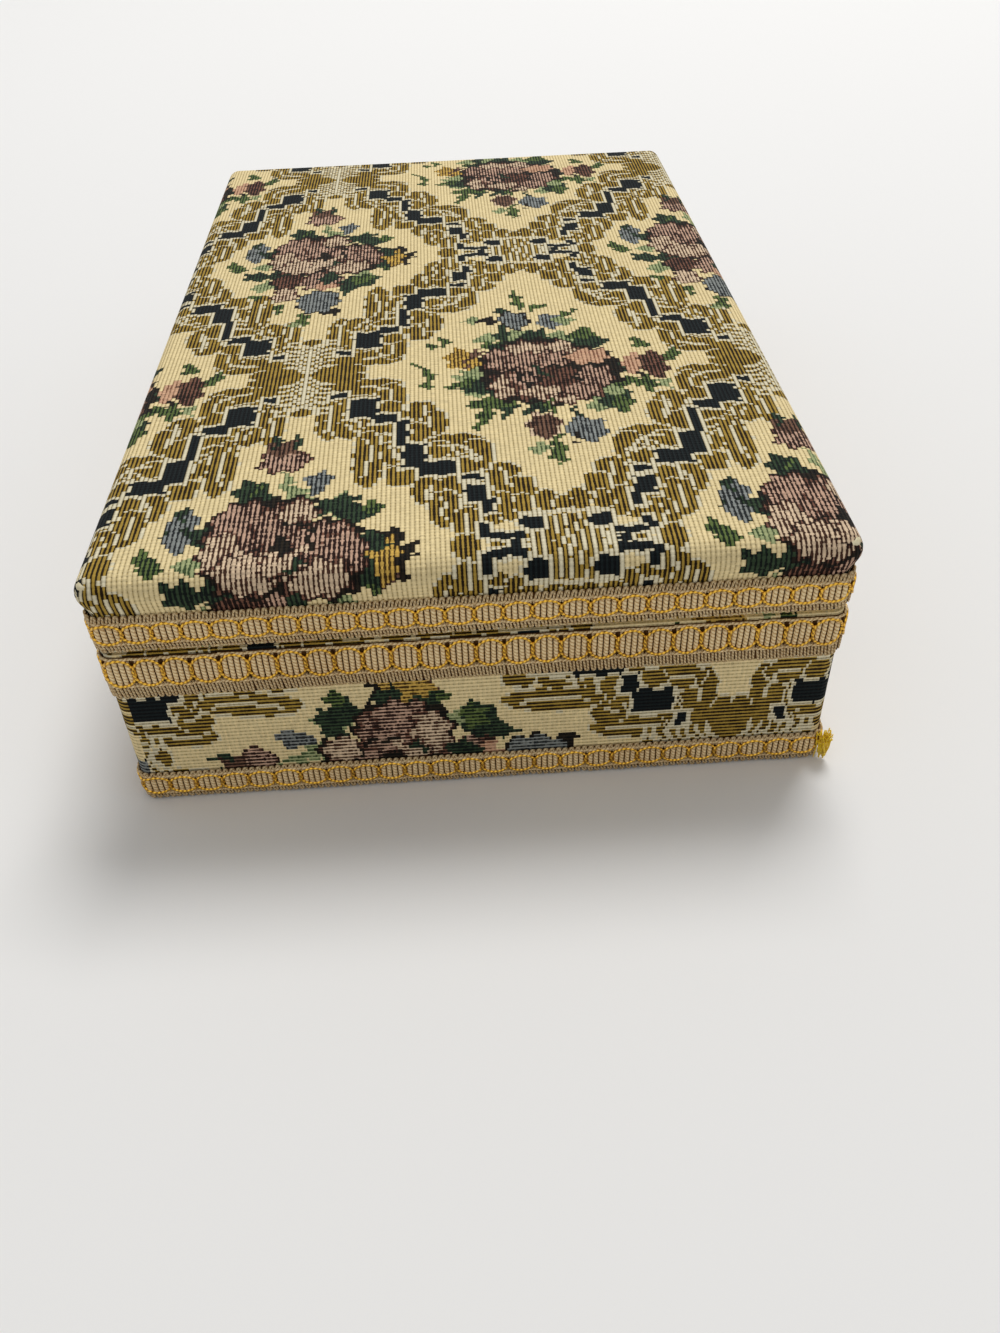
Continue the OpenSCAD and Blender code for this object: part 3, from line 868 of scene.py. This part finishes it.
def tube(path, radius, sides, closed=False, flat=1.0):
    """A thread along a path in mm: vertices, faces and the thread map for each corner."""
    path = np.asarray(path, float)
    n = len(path)
    ahead = np.roll(path, -1, 0) - np.roll(path, 1, 0)
    if not closed:
        ahead[0] = path[1] - path[0]
        ahead[-1] = path[-1] - path[-2]
    ahead = ahead / np.linalg.norm(ahead, axis=1)[:, None]
    side = np.cross(ahead, (0.0, 1.0, 0.0))
    side = side / np.maximum(np.linalg.norm(side, axis=1), 1e-6)[:, None]
    front = np.cross(side, ahead) * flat
    turns = np.arange(sides) * 2 * math.pi / sides
    ring = side[:, None] * np.cos(turns)[:, None] + front[:, None] * np.sin(turns)[:, None]
    verts = (path[:, None] + radius * ring).reshape(-1, 3)
    run = np.concatenate(([0], np.cumsum(np.linalg.norm(np.diff(path, axis=0), axis=1))))
    thread = []
    for i in range(n if closed else n - 1):
        far = run[i + 1] if i + 1 < n else run[i] + run[1]
        for j in range(sides):
            v0, v1 = j / sides, (j + 1) / sides
            thread += [(run[i], v0), (run[i], v1), (far, v1), (far, v0)]
    if not closed:
        thread += [(run[0], 0.5)] * sides + [(run[-1], 0.5)] * sides
    return verts, ring_faces(sides, n, closed), thread


def slab(x0, x1, y0, y1, z0, z1, steps):
    """A flat band along x, marked on the thread map as a dark sheet of painted shade."""
    xs = np.linspace(x0, x1, steps + 1)
    verts = np.array([(x, y, z) for x in xs for y, z in ((y0, z0), (y1, z0), (y1, z1), (y0, z1))])
    faces = ring_faces(4, steps + 1)
    return verts, faces, [(0.0, SHADE_BAND_MARK)] * (4 * len(faces))


def join(parts):
    """Joins vertices, faces and thread maps into one set."""
    verts, faces, thread, begun = [], [], [], 0
    for part_verts, part_faces, part_thread in parts:
        verts.append(part_verts)
        faces += [tuple(v + begun for v in face) for face in part_faces]
        thread += part_thread
        begun += len(part_verts)
    return np.concatenate(verts), faces, thread


# %% [markdown]
# Gimp is worked from spun yarns: matt cotton, and a cord wound with gilt foil. Stripes that run
# slanting round the thread show the twist, with painted shade between the plies, so one function
# serves every yarn.

# %% Yarns


def yarn_material(name, light, dark, roughness, metallic, ply, ground, sheen):
    """Twisted yarn: plies wind round the thread, with painted shade between them."""
    light, dark, ground = (sunlit(*colour) for colour in (light, dark, ground))
    made, s, surface = new_material(name, roughness, sheen, metallic, 0.5 if metallic else 0.1)
    _, along, around = s.uv("thread")
    wound = (along * ply + around * 2).wave(1.0)
    spot = s.node("TexCoord").outputs["Object"]
    fuzz = s.noise(spot, 900)
    worn = s.noise(spot, 70)
    # the dark band behind the loops takes the last colour, given as ground: painted shade between the
    # cords
    shade_band = around.ramp(SHADE_BAND_MARK - 0.3, SHADE_BAND_MARK - 0.2)
    scallops = around.ramp(SCALLOP - 5, SCALLOP - 4)
    # the wound stripes are painted shade between the plies; fuzz and worn vary the tone at random
    share = wound.ramp(0.05, 0.7) * 0.7 + fuzz * 0.5 + (worn - 0.5) * 0.5
    tint = mix(s, dark, light, share)
    tint = mix(s, tint, ground, scallops * 0.28)
    put(s.tree, surface.inputs["Base Color"], mix(s, tint, ground, shade_band * (1 - scallops)))
    bump(s, surface, wound + fuzz * 0.6, 0.0002, 0.6)
    return made


# the cotton's last colour is the painted shade of the dark band behind the loops
COTTON = yarn_material(
    "braid_cotton", (248, 224, 176), (176, 132, 76), 0.75, 0.0, 1.1, (84, 54, 24), 0.0
)
GOLD_CORD = yarn_material(
    "braid_gold_cord", (236, 186, 70), (112, 70, 14), 0.24, 0.9, 1.0, (112, 70, 14), 0.0
)
TUFT_YARN = yarn_material(
    "tuft_yarn", (255, 222, 36), (232, 178, 8), 0.6, 0.0, 1.0, (206, 150, 10), 0.3
)

# %% [markdown]
# The same loop comes over a hundred times. An Array modifier would make every one alike. Instances
# on a line of points can each tilt a little by chance, as worked thread does.

# %% The row of loops, in Geometry Nodes


def row_tree():
    tree = bpy.data.node_groups.new("row_of_loops", "GeometryNodeTree")
    add = tree.nodes.new
    names = {}
    for name, kind in (
        ("Unit", "Geometry"), ("Count", "Int"), ("Pitch", "Float"), ("Sway", "Float"),
        ("Seed", "Int"), ("Yarn", "Material"),
    ):
        made = tree.interface.new_socket(name, in_out="INPUT", socket_type="NodeSocket" + kind)
        names[name] = made.identifier
    tree.interface.new_socket("Row", in_out="OUTPUT", socket_type="NodeSocketGeometry")
    given = add("NodeGroupInput").outputs
    result = add("NodeGroupOutput").inputs
    step = add("ShaderNodeCombineXYZ")
    line = add("GeometryNodeMeshLine")
    chance = add("FunctionNodeRandomValue")
    chance.data_type = "FLOAT_VECTOR"
    chance.inputs["Min"].default_value = (-1, -1, -1)
    sway = add("ShaderNodeVectorMath")
    sway.operation = "SCALE"
    spread = add("GeometryNodeInstanceOnPoints")
    realize = add("GeometryNodeRealizeInstances")
    paint = add("GeometryNodeSetMaterial")
    for out, into in (
        (given["Pitch"], step.inputs["X"]), (step.outputs[0], line.inputs["Offset"]),
        (given["Count"], line.inputs["Count"]), (given["Seed"], chance.inputs["Seed"]),
        (chance.outputs["Value"], sway.inputs[0]), (given["Sway"], sway.inputs["Scale"]),
        (line.outputs[0], spread.inputs["Points"]), (given["Unit"], spread.inputs["Instance"]),
        (sway.outputs[0], spread.inputs["Rotation"]), (spread.outputs[0], realize.inputs[0]),
        (realize.outputs[0], paint.inputs["Geometry"]), (given["Yarn"], paint.inputs["Material"]),
        (paint.outputs[0], result["Row"]),
    ):
        tree.links.new(out, into)
    return tree, names


ROW_TREE, ROW_NAMES = row_tree()


def thread_object(name, parts, scale=1.0):
    verts, faces, thread = join(parts)
    made = make_mesh(name, verts * scale, faces, {"thread": thread})
    face_outward(made.data)
    return made


def repeat(unit, count, pitch, seed, yarn):
    """Repeats a unit along x and gives the row as a plain mesh object."""
    rows = unit.modifiers.new("row", "NODES")
    rows.node_group = ROW_TREE
    for name, value in (
        ("Count", count), ("Pitch", pitch), ("Sway", 0.025), ("Seed", seed), ("Yarn", yarn)
    ):
        rows[ROW_NAMES[name]] = value
    graph = bpy.context.evaluated_depsgraph_get()
    mesh = bpy.data.meshes.new_from_object(unit.evaluated_get(graph), depsgraph=graph)
    name = unit.name
    bpy.data.objects.remove(unit)
    return add_object(name, mesh)


SEAM_GAP = 0.6


def bend_round(made, pitch, count, middle):
    """Bends a straight row, in mm, round the box at a height, from its front right corner.

    The bend mirrors the row, so its faces point inward afterwards.
    """
    mesh = made.data
    flat = np.zeros(len(mesh.vertices) * 3, np.float32)
    mesh.vertices.foreach_get("co", flat)
    x, out, z = flat.reshape(-1, 3).T
    seam = 2 * CORE_X + BEND / 2
    along = SEAM_GAP / 2 + (x + pitch / 2) * (ROUND - SEAM_GAP) / (pitch * count)
    at, normal = outline_at(seam + along)
    placed = np.empty((len(x), 3), np.float32)
    placed[:, :2] = at + normal * out[:, None]
    placed[:, 2] = z + middle
    mesh.vertices.foreach_set("co", (placed * MM).ravel())
    mesh.polygons.foreach_set("use_smooth", [True] * len(mesh.polygons))
    mesh.update()


# %% [markdown]
# One braid goes round the lid, one below the rim and one at the foot. They differ in height and in
# how far their scallops stand out, so one function makes all three.

# %% The three braids
# a loop's wanted length, and the radius of its gold cord
LOOP_PITCH = 6.1
CORD_R = 0.36


def scallop(x, base, tip, out):
    """A hairpin of cotton that leans as it leaves the loops and turns round at the braid's edge."""
    reach = tip - base
    path = []
    for k in range(9):
        a = math.pi * k / 8
        lift = min(1.0, 1.5 * math.sin(a)) if reach > 0 else -min(1.0, 1.5 * math.sin(a))
        height = base + lift * (abs(reach) - 0.36)
        path.append((x - 0.42 * math.cos(a) + 0.5 * abs(lift), out - 0.12 * abs(lift), height))
    verts, faces, thread = tube(path, 0.29, 5)
    return verts, faces, [(u, v + SCALLOP) for u, v in thread]


def braid(name, box_low, box_high, loops_low, loops_high, body, node, seed):
    """One braid round the box, from its CAD box and its loops' heights in mm."""
    low, high = round(box_low.z / MM, 1), round(box_high.z / MM, 1)
    count = round(ROUND / LOOP_PITCH)
    pitch = ROUND / count
    middle = (loops_low + loops_high) / 2
    tall = (loops_high - loops_low) / 2
    low, high, loops_low, loops_high = (z - middle for z in (low, high, loops_low, loops_high))
    turns = np.linspace(0, 2 * math.pi, 22, endpoint=False)
    oval = [
        (pitch * 0.53 * math.cos(a), 0.74 - 0.12 * math.cos(a), (tall - CORD_R) * math.sin(a))
        for a in turns
    ]
    gold = thread_object(name + "_gold", [tube(oval, CORD_R, 6, closed=True)])
    # the dark band behind the loops: a sheet of painted shade where the cords part
    parts = [slab(-pitch / 2, pitch / 2, 0.02, 0.28, low + 0.5, high - 0.5, 6)]
    for k in range(4):
        x = pitch * (k - 1.5) / 4.6
        ends = tall * (0.78 if k in (0, 3) else 0.93)
        path = [(x, 0.34 + 0.24 * math.cos(t * 1.35), ends * t) for t in (-1, -0.5, 0, 0.5, 1)]
        parts.append(tube(path, 0.56, 6, flat=0.75))
    for k in range(4):
        x = pitch * (k - 1.5) / 4
        if high - loops_high > 1:
            parts.append(scallop(x, loops_high - 1.0, high, 0.52))
        if loops_low - low > 1:
            parts.append(scallop(x, loops_low + 1.0, low, 0.52))
    for x0, x1 in ((-pitch / 2, 0), (0, pitch / 2)):
        for z in (loops_high - 0.2, loops_low + 0.2):
            parts.append(tube([(x0, 0.45, z), ((x0 + x1) / 2, 0.62, z), (x1, 0.45, z)], 0.34, 5))
    cotton = thread_object(name + "_cotton", parts)
    for unit, yarn in ((gold, GOLD_CORD), (cotton, COTTON)):
        row = repeat(unit, count, pitch, seed, yarn)
        bend_round(row, pitch, count, middle)
        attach(row, body)
        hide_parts(node)
        row.data.calc_loop_triangles()
        print(row.name, "has", len(row.data.loop_triangles), "triangles")


braid("lid_gimp", lid_braid_low, lid_braid_high, 47.2, 52.7, "lid", "lid_braid", 21)
braid("rim_gimp", rim_braid_low, rim_braid_high, 35.4, 43.2, "base", "base_rim_braid", 22)
braid("foot_gimp", foot_braid_low, foot_braid_high, 1.9, 7.5, "base", "base_foot_braid", 23)

# %% [markdown]
# The foot braid was cut at the front right corner and frayed into a tuft of yellow core yarn.

# %% The frayed tuft
rng = np.random.default_rng(31)
TUFT_AT = (HALF_W + 0.7, -HALF_L - 0.9)
STEPS = [k / 5 for k in range(6)]
strands = []
for _ in range(70):
    foot_x, foot_y = rng.normal(0, 0.45, 2)
    lean_x, lean_y = rng.normal(0, 0.9, 2)
    low_z, high_z = rng.uniform(0.5, 3.0), rng.uniform(5.6, 9.0)
    sway = rng.uniform(0, 6.3)
    strands.append(tube([
        (
            TUFT_AT[0] + foot_x + lean_x * t * t + 0.18 * math.sin(sway + 6 * t),
            TUFT_AT[1] + foot_y + lean_y * t * t + 0.18 * math.cos(sway + 5 * t),
            low_z + (high_z - low_z) * t,
        )
        for t in STEPS
    ], rng.uniform(0.13, 0.2), 4))
tuft = thread_object("frayed_tuft", strands, MM)
tuft.data.materials.append(TUFT_YARN)
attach(tuft, "base")
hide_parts("foot_braid_tuft")
print("the tuft has", len(strands), "strands")

# %% [markdown]
# Under the lid's cloth lies a slab of foam, and on the floor a thin satin cushion. Both are soft:
# crowned in the middle, with round edges all the way.

# %% Satin, board, paper and foam


def grain_material(name, light, dark, roughness, scale, stretch, sheen, depth):
    """A plain material with a grain: threads for satin, fibres for board and paper."""
    made, s, surface = new_material(name, roughness, sheen)
    spot = s.node("TexCoord").outputs["Object"]
    pulled = s.node("Mapping", Vector=spot, Scale=stretch).outputs[0]
    grain = s.noise(pulled, scale, 4)
    cloud = s.noise(spot, 25)
    share = grain.ramp(0.3, 0.7) * 0.7 + cloud * 0.3
    tint = mix(s, sunlit(*dark), sunlit(*light), share)
    put(s.tree, surface.inputs["Base Color"], tint)
    put(s.tree, surface.inputs["Roughness"], roughness - 0.1 + grain * 0.2)
    bump(s, surface, grain, depth, 0.5)
    return made


SATIN = grain_material(
    "satin_lining", (228, 208, 160), (206, 180, 128), 0.38, 900, (1, 0.12, 1), 0.5, 0.0001
)
BOARD = grain_material(
    "greyboard", (156, 146, 128), (112, 104, 92), 0.9, 420, (1, 1, 3), 0.0, 0.0002
)
PAPER = grain_material(
    "underside_paper", (222, 206, 168), (204, 184, 142), 0.85, 500, (1, 1, 1), 0.0, 0.0001
)
FOAM = grain_material("foam", (232, 222, 190), (206, 192, 150), 0.9, 900, (1, 1, 1), 0.0, 0.0003)
HINGE_CLOTH = grain_material(
    "hinge_cloth", (196, 168, 118), (156, 126, 80), 0.85, 1200, (1, 0.3, 1), 0.3, 0.0002
)
for node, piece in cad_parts.items():
    if "board" in node or node.endswith("_rim"):
        paint = BOARD
    elif "lining" in node:
        paint = SATIN
    elif "paper" in node:
        paint = PAPER
    else:
        continue
    piece.data.materials.clear()
    piece.data.materials.append(paint)


def corners_of(node):
    low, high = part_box(node)
    return [c / MM for c in low], [c / MM for c in high]


def cushion(name, node, body, material, cells, lowered=0.0):
    """A closed, crowned form with round edges, from its node's box, lowered a little on top."""
    low, (half_w, half_l, top_z) = corners_of(node)
    edge = corner = 3.0
    share_x = np.sin(np.linspace(-math.pi / 2, math.pi / 2, cells[0]))
    share_y = np.sin(np.linspace(-math.pi / 2, math.pi / 2, cells[1]))
    gx, gy = np.meshgrid(share_x * half_w, share_y * half_l)
    inset = np.minimum(half_w - np.abs(gx), half_l - np.abs(gy))
    du = np.clip((np.abs(gx) - (half_w - corner)) / corner, 0, 1)
    dv = np.clip((np.abs(gy) - (half_l - corner)) / corner, 0, 1)
    both = (du > 0) & (dv > 0)
    px = np.where(both, half_w - corner + corner * du * np.sqrt(1 - dv * dv / 2), np.abs(gx))
    py = np.where(both, half_l - corner + corner * dv * np.sqrt(1 - du * du / 2), np.abs(gy))
    px, py = px * np.sign(gx), py * np.sign(gy)
    soft = edge / 2
    roll = np.sqrt(np.clip(1 - np.clip(1 - inset / soft, 0, 1) ** 2, 0, 1))
    crowned = 1 - (1 - np.clip(inset / half_w, 0, 1)) ** 2.4
    pucker = 0.12 * np.sin(px / 3.1 + py / 4.3) * np.sin(py / 2.7) * np.clip(inset / 4, 0, 1)
    top = low[2] + soft + roll * soft + (top_z - lowered - low[2] - edge) * crowned
    top = top + pucker * (1 - np.clip(inset / 40, 0, 1))
    bottom = low[2] + soft - roll * soft
    verts, faces, seen = [], [], {}

    def vertex(i, j, upper):
        key = (i, j, upper and 0 < i < cells[1] - 1 and 0 < j < cells[0] - 1)
        if key not in seen:
            seen[key] = len(verts)
            z = top[i, j] if key[2] else (low[2] + soft if inset[i, j] < 1e-6 else bottom[i, j])
            verts.append((px[i, j] * MM, py[i, j] * MM, z * MM))
        return seen[key]

    for upper in (True, False):
        for i in range(cells[1] - 1):
            for j in range(cells[0] - 1):
                places = ((i, j), (i, j + 1), (i + 1, j + 1), (i + 1, j))
                faces.append([vertex(a, b, upper) for a, b in places])
    made = make_mesh(name, verts, faces)
    face_outward(made.data)
    made.data.materials.append(material)
    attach(made, body)
    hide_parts(node)
    return made


floor_pad = cushion("floor_cushion", "base_floor_pad", "base", SATIN, (61, 97))
foam_pad = cushion("lid_foam", "lid_foam_pad", "lid", FOAM, (41, 65), 0.3)
print("floor cushion and foam:", len(floor_pad.data.polygons), len(foam_pad.data.polygons), "faces")

# %% [markdown]
# The hinge is one strip of cloth, glued inside both walls and folded between them. It bends only
# at the fold.

# %% The hinge cloth
leaf_low, leaf_high = corners_of("hinge_cloth_base_leaf")
upper_low, upper_high = corners_of("hinge_cloth_lid_leaf")
fold_x = leaf_low[0]
wall_x = leaf_high[0]
base_z = leaf_high[2]
lid_z = upper_low[2]
profile = [
    # the side that faces the wall, from the base's end to the lid's
    (wall_x, leaf_low[2]), (wall_x, base_z - 0.6), (wall_x - 0.3, base_z),
    (fold_x + 0.35, base_z), (fold_x + 0.3, base_z + 0.08),
    (fold_x + 0.3, lid_z - 0.08), (fold_x + 0.35, lid_z), (wall_x - 0.3, lid_z),
    (wall_x, lid_z + 0.6), (wall_x, upper_high[2]),
    # and back along the other side
    (wall_x - 0.3, upper_high[2]), (wall_x - 0.3, upper_high[2] - 8.4), (wall_x - 0.6, lid_z + 0.3),
    (fold_x + 0.2, lid_z + 0.3), (fold_x, lid_z + 0.1), (fold_x, base_z - 0.1),
    (fold_x + 0.2, base_z - 0.3), (wall_x - 0.6, base_z - 0.3),
    (wall_x - 0.3, base_z - 1.0), (wall_x - 0.3, leaf_low[2]),
]
stations = np.linspace(leaf_low[1], leaf_high[1], 41)
verts = [(x * MM, y * MM, z * MM) for y in stations for x, z in profile]
hinge = make_mesh("hinge_strip", verts, ring_faces(len(profile), len(stations)), smooth=False)
face_outward(hinge.data)
hinge.data.materials.append(HINGE_CLOTH)
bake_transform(hinge)
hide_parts("hinge_cloth_base_leaf", "hinge_cloth_lid_leaf")
print("the hinge cloth has", len(hinge.data.polygons), "faces")

# %% [markdown]
# The photo has soft daylight and a pale surface. One large window behind the box and an even sky
# give the same. The sky looks brighter to the camera than it is to the box.

# %% Floor, light and background
floor_paper, _, floor_surface = new_material("floor_paper", 0.9)
floor_surface.inputs["Base Color"].default_value = sunlit(236, 235, 233)
floor = make_mesh("floor", [(-3, -3, 0), (3, -3, 0), (3, 3, 0), (-3, 3, 0)], [(0, 1, 2, 3)])
floor.data.materials.append(floor_paper)

# the sky's strength on the box, and as the camera sees it
SKY_LIGHT = 0.45
SKY_SEEN = 0.95
world = bpy.data.worlds.new("studio")
bpy.context.scene.world = world
world.use_nodes = True
world_tree = world.node_tree
back = world_tree.nodes["Background"]
back.inputs["Color"].default_value = (1, 1, 1, 1)
sky = Shade(world_tree, back.outputs[0])
rays = sky.node("LightPath").outputs
seen = Shade(world_tree, rays["Is Camera Ray"])
seen = seen.maths("MAXIMUM", seen, rays["Is Glossy Ray"])
seen = seen.maths("MAXIMUM", seen, rays["Is Transmission Ray"])
put(world_tree, back.inputs["Strength"], SKY_LIGHT + (SKY_SEEN - SKY_LIGHT) * seen)

# one large window, high up behind the box
light_data = bpy.data.lights.new("window", "AREA")
light_data.size = 1.2
light_data.energy = 52
window = add_object("window", light_data)
window.location = (0.5, 1.2, 2.6)
aim = Vector((0, 0, 0.03)) - window.location
window.rotation_euler = aim.to_track_quat("-Z", "Y").to_euler()
bpy.context.scene.view_settings.view_transform = "Standard"
